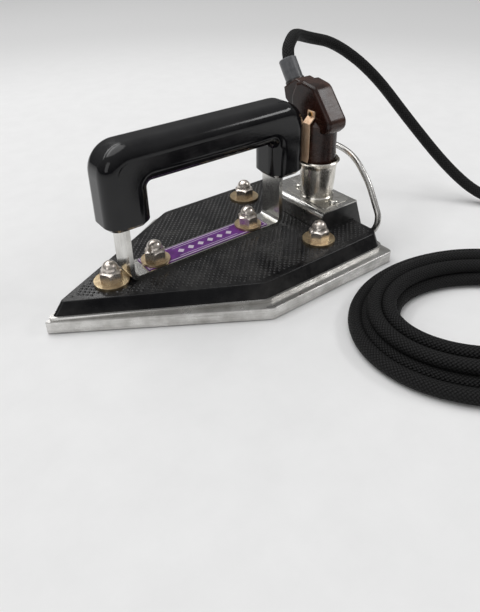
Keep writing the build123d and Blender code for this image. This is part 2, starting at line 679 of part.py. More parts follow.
with BuildPart() as connector_solid:
    with BuildSketch(Plane.YZ.offset(INLET_X - HEAD_HALF)) as head_side:
        with BuildLine():
            Polyline(*HEAD_OUTLINE, close=True)
        make_face()
        fillet(head_side.vertices().sort_by(Axis.X)[:2], HEAD_NOSE_ROUND)
        fillet([v for v in head_side.vertices() if abs(v.X - HEAD_CROWN[0]) < 0.1], HEAD_CROWN_ROUND)
    extrude(amount=2 * HEAD_HALF)
    fillet(connector_solid.faces().group_by(Axis.X)[0].edges(), HEAD_ROUND)
    fillet(connector_solid.faces().group_by(Axis.X)[-1].edges(), HEAD_ROUND)
    add(gland_block())
    rods([(INLET_X, INLET_Y)], BODY_RADIUS, BODY_BOTTOM, BODY_SHOULDER)
    with Locations((INLET_X, INLET_Y, BODY_SHOULDER)):
        Cone(BODY_RADIUS, HEAD_HALF, BODY_TAPER, align=(Align.CENTER, Align.CENTER, Align.MIN))
    rods([(INLET_X, INLET_Y)], SPIGOT_RADIUS, SPIGOT_BOTTOM, BODY_BOTTOM)
    holes(INLET_PINS, CONTACT_OUTER, SPIGOT_BOTTOM, CONTACT_TOP)
    with BuildSketch(Plane.XY.offset(CONTACT_TOP)):
        with Locations((INLET_X, INLET_Y)):
            Rectangle(WIRE_CHAMBER[0], WIRE_CHAMBER[1])
    extrude(amount=WIRE_CHAMBER[2], mode=Mode.SUBTRACT)
    with BuildSketch(SUNK_PLANE):
        Circle(SLEEVE_RADIUS)
    extrude(amount=SLEEVE_SUNK + GLAND_POCKET, mode=Mode.SUBTRACT)
    with BuildSketch(SUNK_PLANE):
        Circle(CORD_RADIUS)
    extrude(amount=-CORD_CHANNEL, mode=Mode.SUBTRACT)
    for side in (-1, 1):
        with BuildSketch(Plane.XY.offset(BODY_BOTTOM)):
            with Locations((INLET_X + side * (SPRING_REACH + SPRING_SLOT[0] - SPRING_SHEET), INLET_Y)):
                Rectangle(2 * SPRING_SLOT[0], SPRING_WIDTH + SPRING_SLOT[1])
        extrude(amount=BODY_SHOULDER - BODY_BOTTOM, mode=Mode.SUBTRACT)

SPLIT_PLANE = Plane.YZ.offset(INLET_X)
SCREW_END = Plane.YZ.offset(INLET_X + HEAD_HALF - CASE_SCREW[1])
SCREW_SEAT = Plane.YZ.offset(INLET_X + HEAD_HALF)
for name, keep in (("connector_front_half", Keep.BOTTOM), ("connector_rear_half", Keep.TOP)):
    with BuildPart() as half:
        add(connector_solid.part)
        split(bisect_by=SPLIT_PLANE, keep=keep)
        with BuildSketch(SCREW_END):
            with Locations(*CASE_SCREW_PLACES):
                Circle(CASE_SCREW[0])
        extrude(amount=CASE_SCREW[1], mode=Mode.SUBTRACT)
    finish(half.part, name)

with BuildPart() as connector_screws:
    for plane, radius, length in (
        (SCREW_END, CASE_SCREW[0], CASE_SCREW[1]),
        (SCREW_SEAT, CASE_SCREW[2], CASE_SCREW[3]),
    ):
        with BuildSketch(plane):
            with Locations(*CASE_SCREW_PLACES):
                Circle(radius)
        extrude(amount=length)
    fillet(connector_screws.faces().group_by(Axis.X)[-1].edges(), CASE_SCREW[4])
finish(connector_screws.part, "connector_screws")

with BuildPart() as contact_tubes:
    rods(INLET_PINS, CONTACT_OUTER, SPIGOT_BOTTOM + CONTACT_SINK, CONTACT_TOP)
    holes(INLET_PINS, INLET_PIN + CONTACT_PLAY, SPIGOT_BOTTOM, CONTACT_TOP - CONTACT_WEB)
finish(contact_tubes.part, "contact_tubes")

with BuildPart() as contact_leads:
    rods(INLET_PINS, LEAD_RADIUS, CONTACT_TOP, CONTACT_TOP + WIRE_CHAMBER[2] - LEAD_END)
finish(contact_leads.part, "contact_leads")

with BuildPart() as earth_springs:
    blade = SPRING_REACH - SPRING_SHEET / 2
    pad = HEAD_HALF + SPRING_PLAY + SPRING_SHEET / 2
    for side in (-1, 1):
        with BuildSketch(Plane.XZ.offset(-INLET_Y)):
            with BuildLine():
                Polyline(
                    (INLET_X + side * (SPRING_REACH + SPRING_KICK[0]), SPRING_FOOT_Z),
                    (INLET_X + side * blade, SPRING_FOOT_Z + SPRING_KICK[1]),
                    (INLET_X + side * blade, SPRING_HEAD_Z - SPRING_STEP),
                    (INLET_X + side * pad, SPRING_HEAD_Z),
                    (INLET_X + side * pad, SPRING_HEAD_Z + SPRING_PAD),
                )
                offset(amount=SPRING_SHEET / 2, side=Side.BOTH)
            make_face()
        extrude(amount=SPRING_WIDTH / 2, both=True)
finish(earth_springs.part, "earth_springs")

with BuildPart() as spring_rivets:
    for side in (-1, 1):
        with BuildSketch(Plane.YZ.offset(INLET_X + side * (HEAD_HALF + SPRING_PLAY + SPRING_SHEET))):
            with Locations((INLET_Y, SPRING_HEAD_Z + SPRING_RIVET[2])):
                Circle(SPRING_RIVET[0])
        extrude(amount=side * SPRING_RIVET[1])
finish(spring_rivets.part, "spring_rivets")

with BuildPart() as cord_sleeve:
    with BuildSketch(SUNK_PLANE):
        Circle(SLEEVE_RADIUS)
    extrude(amount=SLEEVE_SUNK + SLEEVE_LENGTH)
    chamfer(cord_sleeve.faces().sort_by(Axis.Z)[-1].edges(), SLEEVE_EDGE)
    with BuildSketch(SUNK_PLANE):
        Circle(CORD_RADIUS)
    extrude(amount=SLEEVE_SUNK + SLEEVE_LENGTH, mode=Mode.SUBTRACT)
    with BuildSketch(GLAND_PLANE):
        Circle(SLEEVE_MOUTH)
    extrude(amount=SLEEVE_LENGTH, mode=Mode.SUBTRACT)
finish(cord_sleeve.part, "cord_sleeve")

with BuildPart() as sleeve_ferrule:
    with BuildSketch(GLAND_PLANE.offset(FERRULE[2])):
        Circle(FERRULE[0])
        Circle(SLEEVE_RADIUS, mode=Mode.SUBTRACT)
    extrude(amount=FERRULE[1])
finish(sleeve_ferrule.part, "sleeve_ferrule")

# ---------------------------------------------------------------- cord, coil and mains plug
CORD_ROUTE = (
    tuple(SLEEVE_BASE),
    (99.2, 29.1, 131.5),
    (111.0, 43.0, 142.8),
    (127.0, 52.0, 142.9),
    (145.5, 56.0, 135.2),
    (169.4, 46.8, 126.2),
    (195.7, 30.0, 103.5),
    (217.4, 1.9, 63.8),
    (234.8, -29.6, 25.8),
    (247.1, -58.1, 6.6),
    (259.0, -84.0, CORD_FLOOR),
    (261.0, -108.0, CORD_FLOOR),
    (254.0, -131.0, CORD_FLOOR),
    (241.0, -152.0, CORD_FLOOR),
    (224.2, -170.1, CORD_FLOOR),
    (204.4, -187.0, CORD_FLOOR),
)


def route_radii(route):
    """Give each corner of a cord's route the largest arc that its two runs allow."""
    radii = []
    for before, corner, after in zip(route, route[1:], route[2:]):
        first = Vector(corner) - Vector(before)
        second = Vector(after) - Vector(corner)
        shorter = min(first.length, second.length)
        half_turn = radians(first.get_angle(second)) / 2
        radii.append(0.45 * shorter / tan(half_turn))
    return radii


def cord_tube(route):
    """Sweep the cord's round section along straight runs joined by tangent arcs."""
    radii = route_radii(route)
    with BuildPart() as tube:
        with BuildLine() as path:
            FilletPolyline(*route, radius=radii)
        run = path.wires()[0]
        with BuildSketch(Plane(origin=run @ 0, z_dir=run % 0)):
            Circle(CORD_RADIUS)
        sweep(path=run)
    expected = pi * CORD_RADIUS**2 * run.length
    print("radii", [round(radius, 1) for radius in radii])
    print("length", round(run.length, 1), "volume ratio", round(tube.part.volume / expected, 4))
    return tube.part


finish(cord_tube(CORD_ROUTE), "cord_tube")

TAIL_ROUTE = (
    (128.0, -241.5, 9.5),
    (111.0, -249.0, 5.0),
    (93.0, -255.5, 6.0),
    (75.0, -260.5, 14.0),
    (57.0, -264.8, 14.0),
)
finish(cord_tube(TAIL_ROUTE), "cord_tail")

with BuildPart() as cord_coil:
    for centre, (half_x, half_y, turn), mode in (
        (COIL_CENTRE, COIL_OUTER, Mode.ADD),
        (COIL_EYE, COIL_INNER, Mode.SUBTRACT),
    ):
        with BuildSketch(Plane.XY):
            with Locations(Location((*centre, 0), (0, 0, turn))):
                Ellipse(half_x, half_y)
        extrude(amount=COIL_HEIGHT, mode=mode)
    for end, beside, reach in (
        (CORD_ROUTE[-1], CORD_ROUTE[-2], COIL_STUBS[0]),
        (TAIL_ROUTE[0], TAIL_ROUTE[1], COIL_STUBS[1]),
    ):
        inward = Vector(end) - Vector(beside)
        with BuildSketch(Plane(origin=end, z_dir=inward)):
            Circle(CORD_RADIUS)
        extrude(amount=reach)
finish(cord_coil.part, "cord_coil")

PLUG_AXIS = (Vector(TAIL_ROUTE[-1]) - Vector(TAIL_ROUTE[-2])).normalized()
GLAND_START = Plane(origin=TAIL_ROUTE[-1], x_dir=(0, 0, 1), z_dir=PLUG_AXIS)
PLUG_BACK = GLAND_START.offset(PLUG_GLAND_LENGTH)

with BuildPart() as mains_plug_gland:
    with BuildSketch(GLAND_START):
        Circle(CORD_RADIUS + PLUG_GLAND[0])
    with BuildSketch(PLUG_BACK):
        Circle(CORD_RADIUS + PLUG_GLAND[1])
    loft()
finish(mains_plug_gland.part, "mains_plug_gland")

with BuildPart() as mains_plug_body:
    with BuildSketch(PLUG_BACK):
        Circle(CORD_RADIUS + PLUG_NECK)
    with BuildSketch(PLUG_BACK.offset(PLUG_SHOULDER)):
        Circle(PLUG_RADIUS)
    loft()
    with BuildSketch(PLUG_BACK.offset(PLUG_SHOULDER)):
        Circle(PLUG_RADIUS)
    extrude(amount=PLUG_LENGTH - PLUG_SHOULDER)
    fillet(mains_plug_body.edges().filter_by(GeomType.CIRCLE).sort_by(Edge.length)[-1], PLUG_EDGE)
    with BuildSketch(PLUG_BACK.offset(PLUG_LENGTH)):
        with GridLocations(1, PLUG_PIN[1], 1, 2):
            Circle(PLUG_PIN[3])
    extrude(amount=-PLUG_SOCKET, mode=Mode.SUBTRACT)
finish(mains_plug_body.part, "mains_plug_body")

with BuildPart() as mains_plug_pins:
    for start, radius, length in (
        (PLUG_LENGTH - PLUG_SOCKET, PLUG_PIN[3], PLUG_SOCKET),
        (PLUG_LENGTH, PLUG_PIN[0], PLUG_PIN[2]),
    ):
        with BuildSketch(PLUG_BACK.offset(start)):
            with GridLocations(1, PLUG_PIN[1], 1, 2):
                Circle(radius)
        extrude(amount=length)
    pin_tips = mains_plug_pins.faces().group_by(Axis(TAIL_ROUTE[-1], PLUG_AXIS))[-1]
    chamfer(pin_tips.edges(), PLUG_EDGE)
finish(mains_plug_pins.part, "mains_plug_pins")
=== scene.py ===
"""Looks of a heavy laundry iron: materials, embossed cover, printed label and a braided cord in a coil."""

from math import cos, pi, radians, sin, sqrt

import bmesh
import bpy
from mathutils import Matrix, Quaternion, Vector


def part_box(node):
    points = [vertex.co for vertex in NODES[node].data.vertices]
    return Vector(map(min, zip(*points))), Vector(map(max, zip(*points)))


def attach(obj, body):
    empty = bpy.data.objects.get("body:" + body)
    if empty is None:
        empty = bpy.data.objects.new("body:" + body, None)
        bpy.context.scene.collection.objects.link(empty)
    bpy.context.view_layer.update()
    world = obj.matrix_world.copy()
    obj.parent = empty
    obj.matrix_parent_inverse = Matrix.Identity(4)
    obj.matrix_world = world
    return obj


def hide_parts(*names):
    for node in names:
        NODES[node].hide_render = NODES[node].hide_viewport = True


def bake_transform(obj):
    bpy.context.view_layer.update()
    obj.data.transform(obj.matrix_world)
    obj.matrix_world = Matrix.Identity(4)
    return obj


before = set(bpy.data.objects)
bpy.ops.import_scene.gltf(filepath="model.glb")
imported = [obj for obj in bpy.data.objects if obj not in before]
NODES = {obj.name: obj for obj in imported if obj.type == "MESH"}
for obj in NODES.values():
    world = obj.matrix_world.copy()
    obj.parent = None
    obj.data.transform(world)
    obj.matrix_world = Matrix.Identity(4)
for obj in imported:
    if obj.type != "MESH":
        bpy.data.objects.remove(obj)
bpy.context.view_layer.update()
MM = 0.001

# ---------------------------------------------------------------- camera
CAMERA_AT = Vector((-0.1838, -0.2963, 0.2284))
CAMERA_LOOKS_AT = Vector((0.0309, -0.0035, 0.0114))
CAMERA_ROLL = radians(-1.17)

camera_data = bpy.data.cameras.new("camera")
camera_data.lens = 34.0
camera_data.sensor_width = 36.0
camera_data.shift_y = -0.0997
camera_data.clip_start = 0.01
camera = bpy.data.objects.new("camera", camera_data)
bpy.context.scene.collection.objects.link(camera)
camera.rotation_mode = "QUATERNION"
aim = (CAMERA_LOOKS_AT - CAMERA_AT).to_track_quat("-Z", "Y")
camera.rotation_quaternion = aim @ Quaternion((0, 0, 1), CAMERA_ROLL)
camera.location = CAMERA_AT
bpy.context.scene.camera = camera
bpy.context.scene.view_settings.view_transform = "Standard"


# ---------------------------------------------------------------- mesh helpers
def add_object(name, mesh, material, body="iron"):
    """Link a mesh as a piece that rides on a body."""
    obj = bpy.data.objects.new(name, mesh)
    bpy.context.scene.collection.objects.link(obj)
    mesh.materials.append(material)
    if body:
        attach(obj, body)
    return obj


def smooth_line(points, steps):
    """Read a smooth centreline back from a NURBS spline with these control points."""
    curve = bpy.data.curves.new("line", "CURVE")
    curve.dimensions = "3D"
    spline = curve.splines.new("NURBS")
    spline.points.add(len(points) - 1)
    for point, place in zip(spline.points, points):
        point.co = (*place, 1.0)
    spline.order_u = 3
    spline.use_endpoint_u = True
    spline.resolution_u = steps
    carrier = bpy.data.objects.new("line", curve)
    bpy.context.scene.collection.objects.link(carrier)
    bpy.context.view_layer.update()
    mesh = bpy.data.meshes.new_from_object(carrier)
    line = [vertex.co.copy() for vertex in mesh.vertices]
    bpy.data.objects.remove(carrier)
    bpy.data.curves.remove(curve)
    bpy.data.meshes.remove(mesh)
    return line


def tube_mesh(name, line, radius, sides):
    """Wrap a tube round a centreline. Its UV map runs round it and along it in girths."""
    mesh = bpy.data.meshes.new(name)
    shape = bmesh.new()
    uv_layer = shape.loops.layers.uv.new("UVMap")
    heading = (line[1] - line[0]).normalized()
    across = heading.orthogonal().normalized()
    rings, travelled = [], [0.0]
    for index, centre in enumerate(line):
        before, after = line[max(index - 1, 0)], line[min(index + 1, len(line) - 1)]
        tangent = (after - before).normalized()
        across = (across - tangent * across.dot(tangent)).normalized()
        up = tangent.cross(across)
        if index:
            travelled.append(travelled[-1] + (centre - line[index - 1]).length)
        ring = []
        for side in range(sides):
            turn = 2 * pi * side / sides
            ring.append(shape.verts.new(centre + (across * cos(turn) + up * sin(turn)) * radius))
        rings.append(ring)
    girth = 2 * pi * radius
    for index in range(len(rings) - 1):
        near_ring, far_ring = rings[index], rings[index + 1]
        for side in range(sides):
            following = (side + 1) % sides
            face = shape.faces.new(
                (near_ring[side], near_ring[following], far_ring[following], far_ring[side])
            )
            face.smooth = True
            corners = ((side, index), (side + 1, index), (side + 1, index + 1), (side, index + 1))
            for loop, (around, along) in zip(face.loops, corners):
                loop[uv_layer].uv = (around / sides, travelled[along] / girth)
    for ring, order in ((rings[0], -1), (rings[-1], 1)):
        shape.faces.new(ring[::order])
    shape.to_mesh(mesh)
    shape.free()
    return mesh, travelled[-1]


# ---------------------------------------------------------------- node helpers
class Nodes:
    """A short way to write a procedural material."""

    def __init__(self, name):
        self.material = bpy.data.materials.new(name)
        self.material.use_nodes = True
        self.tree = self.material.node_tree
        self.tree.nodes.clear()
        self.shader = self.tree.nodes.new("ShaderNodeBsdfPrincipled")
        output = self.tree.nodes.new("ShaderNodeOutputMaterial")
        self.tree.links.new(self.shader.outputs[0], output.inputs[0])
        self.coords = self.tree.nodes.new("ShaderNodeTexCoord")

    def feed(self, socket, value):
        if isinstance(value, bpy.types.NodeSocket):
            self.tree.links.new(value, socket)
        elif value is not None:
            socket.default_value = value

    def set(self, **values):
        for key, value in values.items():
            self.feed(self.shader.inputs[key.replace("_", " ")], value)

    def scaled(self, scale, source=None):
        node = self.tree.nodes.new("ShaderNodeMapping")
        node.inputs["Scale"].default_value = scale
        self.feed(node.inputs["Vector"], source or self.coords.outputs["Object"])
        return node.outputs[0]

    def noise(self, vector, scale=1.0, detail=3.0, roughness=0.5):
        node = self.tree.nodes.new("ShaderNodeTexNoise")
        node.inputs["Scale"].default_value = scale
        node.inputs["Detail"].default_value = detail
        node.inputs["Roughness"].default_value = roughness
        self.feed(node.inputs["Vector"], vector)
        return node.outputs["Fac"]

    def ramp(self, value, *stops):
        node = self.tree.nodes.new("ShaderNodeValToRGB")
        ramp = node.color_ramp
        while len(ramp.elements) < len(stops):
            ramp.elements.new(0.5)
        for element, (position, colour) in zip(ramp.elements, stops):
            element.position = position
            element.color = (*colour, 1.0)
        self.feed(node.inputs[0], value)
        return node.outputs[0]

    def span(self, value, from_low, from_high, low, high, smooth=False):
        node = self.tree.nodes.new("ShaderNodeMapRange")
        if smooth:
            node.interpolation_type = "SMOOTHSTEP"
        for index, number in enumerate((from_low, from_high, low, high), 1):
            node.inputs[index].default_value = number
        self.feed(node.inputs[0], value)
        return node.outputs[0]

    def math(self, operation, *values):
        node = self.tree.nodes.new("ShaderNodeMath")
        node.operation = operation
        for socket, value in zip(node.inputs, values):
            self.feed(socket, value)
        return node.outputs[0]

    def vector(self, operation, *values):
        node = self.tree.nodes.new("ShaderNodeVectorMath")
        node.operation = operation
        for socket, value in zip(node.inputs, values):
            self.feed(socket, value)
        return node.outputs["Value" if operation == "LENGTH" else 0]

    def split(self, vector):
        node = self.tree.nodes.new("ShaderNodeSeparateXYZ")
        self.feed(node.inputs[0], vector)
        return node.outputs

    def mix(self, factor, first, second):
        node = self.tree.nodes.new("ShaderNodeMix")
        node.data_type = "RGBA"
        self.feed(node.inputs["Factor"], factor)
        for socket, value in zip((node.inputs[6], node.inputs[7]), (first, second)):
            self.feed(socket, (*value, 1.0) if isinstance(value, tuple) else value)
        return node.outputs[2]

    def edges(self, low=0.505, high=0.54):
        """Find worn edges from the surface's pointiness."""
        geometry = self.tree.nodes.new("ShaderNodeNewGeometry")
        return self.span(geometry.outputs["Pointiness"], low, high, 0.0, 1.0)

    def bump(self, height, distance, strength=1.0, under=None):
        node = self.tree.nodes.new("ShaderNodeBump")
        node.inputs["Distance"].default_value = distance
        node.inputs["Strength"].default_value = strength
        self.feed(node.inputs["Height"], height)
        if under is not None:
            self.feed(node.inputs["Normal"], under)
        return node.outputs[0]


def metal(name, light, dark, rough, grain, metallic=1.0, stain=60.0, depth=0.00003):
    """A worn metal: streaks along its grain, cloudy stains and a changing polish."""
    n = Nodes(name)
    streaks = n.noise(n.scaled(grain), 1.0, 4.0, 0.6)
    clouds = n.noise(n.coords.outputs["Object"], stain, 5.0, 0.6)
    both = n.math("ADD", n.math("MULTIPLY", streaks, 0.45), n.math("MULTIPLY", clouds, 0.55))
    n.set(
        Base_Color=n.ramp(both, (0.36, dark), (0.62, light)),
        Metallic=metallic,
        Roughness=n.span(both, 0.3, 0.7, rough[1], rough[0]),
        Normal=n.bump(streaks, depth),
    )
    return n.material


def moulded(name, light, dark, rough, specular=0.5, speckle=900.0, depth=0.00002, worn=None):
    """A moulded or lacquered surface: faint mottling, orange peel and rubbed edges."""
    n = Nodes(name)
    mottle = n.noise(n.coords.outputs["Object"], 55.0, 6.0, 0.65)
    peel = n.noise(n.coords.outputs["Object"], speckle, 2.0, 0.5)
    scratches = n.noise(n.scaled((140.0, 2600.0, 900.0)), 1.0, 3.0, 0.7)
    colour = n.ramp(mottle, (0.38, dark), (0.66, light))
    if worn:
        rubbed = n.math("MULTIPLY", n.edges(), n.span(mottle, 0.4, 0.7, 0.1, 0.6))
        colour = n.mix(rubbed, colour, worn)
    marks = n.math("ADD", n.math("MULTIPLY", mottle, 0.6), n.math("MULTIPLY", scratches, 0.4))
    n.set(
        Base_Color=colour,
        Roughness=n.span(marks, 0.35, 0.65, rough[0], rough[1]),
        Specular_IOR_Level=specular,
        Normal=n.bump(peel, depth, under=n.bump(scratches, depth * 0.6)),
    )
    return n.material


# ---------------------------------------------------------------- materials
STEEL_SOLE = metal(
    "sole_steel", (0.76, 0.75, 0.73), (0.4, 0.39, 0.37), (0.2, 0.42), (30.0, 30.0, 1900.0), stain=90.0
)
STEEL_BLOCK = metal(
    "bright_block", (0.82, 0.81, 0.79), (0.5, 0.49, 0.47), (0.16, 0.36), (25.0, 25.0, 2600.0)
)
STEEL_STRAP = metal(
    "strap_steel", (0.74, 0.73, 0.7), (0.46, 0.45, 0.42), (0.12, 0.3), (60.0, 1800.0, 60.0),
    depth=0.00001,
)
STEEL_STUD = metal(
    "stud_steel", (0.6, 0.59, 0.57), (0.35, 0.34, 0.33), (0.3, 0.5), (60.0, 60.0, 1500.0)
)
NICKEL = metal(
    "nickel", (0.86, 0.84, 0.8), (0.6, 0.58, 0.53), (0.07, 0.24), (300.0, 300.0, 900.0),
    depth=0.00001,
)
NUT_PLATE = metal(
    "nut_nickel", (0.84, 0.78, 0.72), (0.56, 0.49, 0.43), (0.2, 0.4), (500.0, 500.0, 900.0),
    stain=260.0,
)
BLACKENED = metal(
    "blackened_steel", (0.09, 0.085, 0.085), (0.03, 0.028, 0.028), (0.3, 0.5), (400.0, 400.0, 400.0),
    metallic=0.7,
)
SHEET = metal("cover_sheet", (0.72, 0.71, 0.69), (0.44, 0.43, 0.41), (0.18, 0.36), (900.0, 60.0, 60.0))
SHROUD_PLATE = metal(
    "shroud_nickel", (0.84, 0.81, 0.75), (0.5, 0.47, 0.42), (0.16, 0.32), (900.0, 900.0, 25.0),
    stain=120.0,
)
WIRE = metal("bright_wire", (0.72, 0.71, 0.69), (0.44, 0.43, 0.41), (0.18, 0.34), (500.0, 500.0, 500.0))
ZINC = metal(
    "yellow_zinc", (0.76, 0.62, 0.4), (0.42, 0.3, 0.18), (0.22, 0.46), (400.0, 400.0, 400.0),
    stain=220.0,
)
BRASS = metal("brass", (0.8, 0.6, 0.28), (0.5, 0.34, 0.14), (0.2, 0.4), (500.0, 500.0, 500.0))
COPPER = metal(
    "worn_copper", (1.0, 0.75, 0.53), (0.82, 0.53, 0.33), (0.34, 0.55), (800.0, 800.0, 120.0),
    metallic=0.3,
    stain=120.0,
)
RIBBON = metal("ribbon", (0.5, 0.48, 0.45), (0.3, 0.28, 0.26), (0.35, 0.6), (900.0, 900.0, 900.0))
BAKELITE = moulded(
    "black_bakelite", (0.01, 0.01, 0.011), (0.003, 0.003, 0.004), (0.07, 0.19),
    specular=0.4,
    speckle=700.0,
    depth=0.000012,
)
ENAMEL = moulded(
    "black_enamel", (0.008, 0.008, 0.009), (0.003, 0.003, 0.004), (0.1, 0.26),
    specular=0.3,
    speckle=1300.0,
    depth=0.000015,
    worn=(0.05, 0.048, 0.046),
)
BOX_PAINT = moulded(
    "box_enamel", (0.014, 0.014, 0.015), (0.006, 0.006, 0.007), (0.26, 0.46),
    specular=0.4,
    speckle=1300.0,
    depth=0.00003,
    worn=(0.1, 0.098, 0.095),
)
BROWN = moulded(
    "brown_bakelite", (0.036, 0.012, 0.008), (0.01, 0.0034, 0.0024), (0.18, 0.34),
    specular=0.38,
    speckle=900.0,
    depth=0.00003,
    worn=(0.1, 0.05, 0.034),
)
CERAMIC = moulded("ceramic", (0.8, 0.78, 0.73), (0.66, 0.64, 0.59), (0.4, 0.6))
MICA = moulded("mica", (0.62, 0.55, 0.4), (0.42, 0.36, 0.24), (0.25, 0.5))
BOARD = moulded(
    "insulation_board", (0.7, 0.68, 0.62), (0.52, 0.5, 0.45), (0.7, 0.9),
    specular=0.3,
    speckle=400.0,
    depth=0.0001,
)
RUBBER = moulded(
    "plug_rubber", (0.03, 0.03, 0.03), (0.015, 0.015, 0.015), (0.5, 0.7),
    specular=0.4,
    speckle=1600.0,
    depth=0.00005,
)


def sleeve_material():
    """Smooth grey vinyl, drawn lengthwise, with scuffs."""
    n = Nodes("grey_sleeve")
    drawn = n.noise(n.scaled((900.0, 160.0, 120.0)), 1.0, 3.0, 0.6)
    scuffs = n.noise(n.coords.outputs["Object"], 260.0, 5.0, 0.65)
    both = n.math("ADD", n.math("MULTIPLY", drawn, 0.5), n.math("MULTIPLY", scuffs, 0.5))
    n.set(
        Base_Color=n.ramp(both, (0.36, (0.07, 0.072, 0.078)), (0.64, (0.16, 0.163, 0.172))),
        Roughness=n.span(scuffs, 0.3, 0.7, 0.28, 0.5),
        Normal=n.bump(drawn, 0.00012),
    )
    return n.material


def braid_material():
    """A woven cover: strands cross over and under in both directions round the cord. Its colour follows
    the weave's height, with painted shade in the hollows between strands and a painted highlight on their
    crests, mixed with random fibre tone.
    """
    n = Nodes("cord_braid")
    u, v, _ = n.split(n.coords.outputs["UV"])
    strands = 12.0
    around = n.math("MULTIPLY", u, strands)
    along = n.math("MULTIPLY", v, strands)
    first, second = n.math("ADD", around, along), n.math("SUBTRACT", around, along)
    cells = n.math("ADD", n.math("FLOOR", first), n.math("FLOOR", second))
    over = n.math("FLOORED_MODULO", cells, 2.0)
    waves = []
    for value in (first, second):
        waves.append(n.math("SINE", n.math("MULTIPLY", n.math("FRACT", value), pi)))
    under = n.math("SUBTRACT", 1.0, over)
    across = n.math("ADD", n.math("MULTIPLY", over, waves[0]), n.math("MULTIPLY", under, waves[1]))
    crown = n.math("MULTIPLY", waves[0], waves[1])
    height = n.math("ADD", n.math("MULTIPLY", across, 0.6), n.math("MULTIPLY", crown, 0.4))
    fibres = n.noise(n.scaled((90.0, 40.0, 1.0), n.coords.outputs["UV"]), 4.0, 3.0, 0.6)
    # Colour from the weave's height: painted shade in the hollows and a painted highlight on the crests;
    # the fibre noise is random tone.
    tone = n.math("ADD", n.math("MULTIPLY", height, 0.75), n.math("MULTIPLY", fibres, 0.25))
    n.set(
        Base_Color=n.ramp(tone, (0.35, (0.001, 0.001, 0.001)), (0.9, (0.018, 0.018, 0.0185))),
        Roughness=n.span(fibres, 0.3, 0.7, 0.55, 0.8),
        Specular_IOR_Level=0.24,
        Normal=n.bump(height, 0.0006),
    )
    return n.material


def label_material():
    """A purple foil label: a pale border line, two pinstripes and a plain row of lozenges."""
    n = Nodes("purple_label")
    border_from, border_to = 0.0006, 0.0013
    stripe_out, stripe_half = 0.0052, 0.00022
    row_half, lozenge_pitch, lozenge_half = 0.024, 0.008, 0.0026
    low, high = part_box("name_plate")
    centre = (low + high) / 2
    half = (high - low) / 2
    x, y, _ = n.split(n.vector("SUBTRACT", n.coords.outputs["Object"], tuple(centre)))
    from_side = n.math("SUBTRACT", half.y, n.math("ABSOLUTE", y))
    from_end = n.math("SUBTRACT", half.x, n.math("ABSOLUTE", x))
    rim = n.math("MINIMUM", from_side, from_end)
    past_border_start = n.math("GREATER_THAN", rim, border_from)
    border = n.math("MULTIPLY", past_border_start, n.math("LESS_THAN", rim, border_to))
    from_stripe = n.math("ABSOLUTE", n.math("SUBTRACT", n.math("ABSOLUTE", y), stripe_out))
    stripe = n.math("LESS_THAN", from_stripe, stripe_half)
    middle = n.math("LESS_THAN", n.math("ABSOLUTE", x), row_half)
    along = n.math("SUBTRACT", n.math("FLOORED_MODULO", x, lozenge_pitch), lozenge_pitch / 2)
    from_lozenge = n.math("ADD", n.math("ABSOLUTE", along), n.math("ABSOLUTE", y))
    lozenge = n.math("LESS_THAN", from_lozenge, lozenge_half)
    marks = n.math("MULTIPLY", middle, n.math("MAXIMUM", lozenge, stripe))
    pale = n.math("MAXIMUM", border, marks)
    grime = n.noise(n.coords.outputs["Object"], 160.0, 5.0, 0.65)
    purple = n.ramp(grime, (0.35, (0.09, 0.012, 0.15)), (0.7, (0.19, 0.03, 0.29)))
    n.set(
        Base_Color=n.mix(pale, purple, (0.66, 0.6, 0.68)),
        Roughness=n.span(grime, 0.3, 0.7, 0.3, 0.5),
        Specular_IOR_Level=0.3,
        Normal=n.bump(grime, 0.00004),
    )
    return n.material


def floor_material():
    """Matt pale paper, with painted shade: it turns darker away from the middle, as if the light fell off.
    """
    n = Nodes("floor_paper")
    grain = n.noise(n.coords.outputs["Object"], 40.0, 4.0, 0.6)
    paper = n.ramp(grain, (0.3, (0.83, 0.83, 0.83)), (0.7, (0.86, 0.86, 0.86)))
    # Painted shade: the paper darkens with distance from the middle, standing in for light falling off.
    distance = n.vector("LENGTH", n.coords.outputs["Object"])
    painted_falloff = n.span(distance, 0.45, 0.95, 0.0, 1.0, smooth=True)
    n.set(
        Base_Color=n.mix(painted_falloff, paper, (0.68, 0.68, 0.68)),
        Roughness=0.9,
        Specular_IOR_Level=0.15,
    )
    return n.material


BRAID = braid_material()
DRESS = {
    "soleplate": STEEL_SOLE, "pressure_plate": STEEL_BLOCK, "lower_mica": MICA, "upper_mica": MICA,
    "heating_element": RIBBON, "insulation_board": BOARD, "top_cover": ENAMEL, "clamp_studs": STEEL_STUD,
    "strap_studs": STEEL_STUD, "clamp_washers": ZINC, "strap_washers": ZINC, "clamp_nuts": NUT_PLATE,
    "strap_nuts": NUT_PLATE, "handle_strap": STEEL_STRAP, "name_plate": label_material(),
    "handle_grip": BAKELITE, "grip_pins": STEEL_STUD, "terminal_box": BOX_PAINT, "terminal_cover": SHEET,
    "inlet_insulator": CERAMIC, "pin_bushes": CERAMIC, "inlet_pins": BRASS, "shroud_flange": NICKEL,
    "flange_screws": NICKEL, "shroud": SHROUD_PLATE, "heel_rest_loop": WIRE,
    "connector_front_half": BROWN, "connector_rear_half": BROWN, "connector_screws": BRASS,
    "contact_tubes": BRASS, "contact_leads": BRASS, "earth_springs": COPPER, "spring_rivets": BRASS,
    "cord_sleeve": sleeve_material(), "sleeve_ferrule": BLACKENED,
    "mains_plug_gland": RUBBER, "mains_plug_body": RUBBER, "mains_plug_pins": NICKEL,
}
for node, material in DRESS.items():
    NODES[node].data.materials.clear()
    NODES[node].data.materials.append(material)

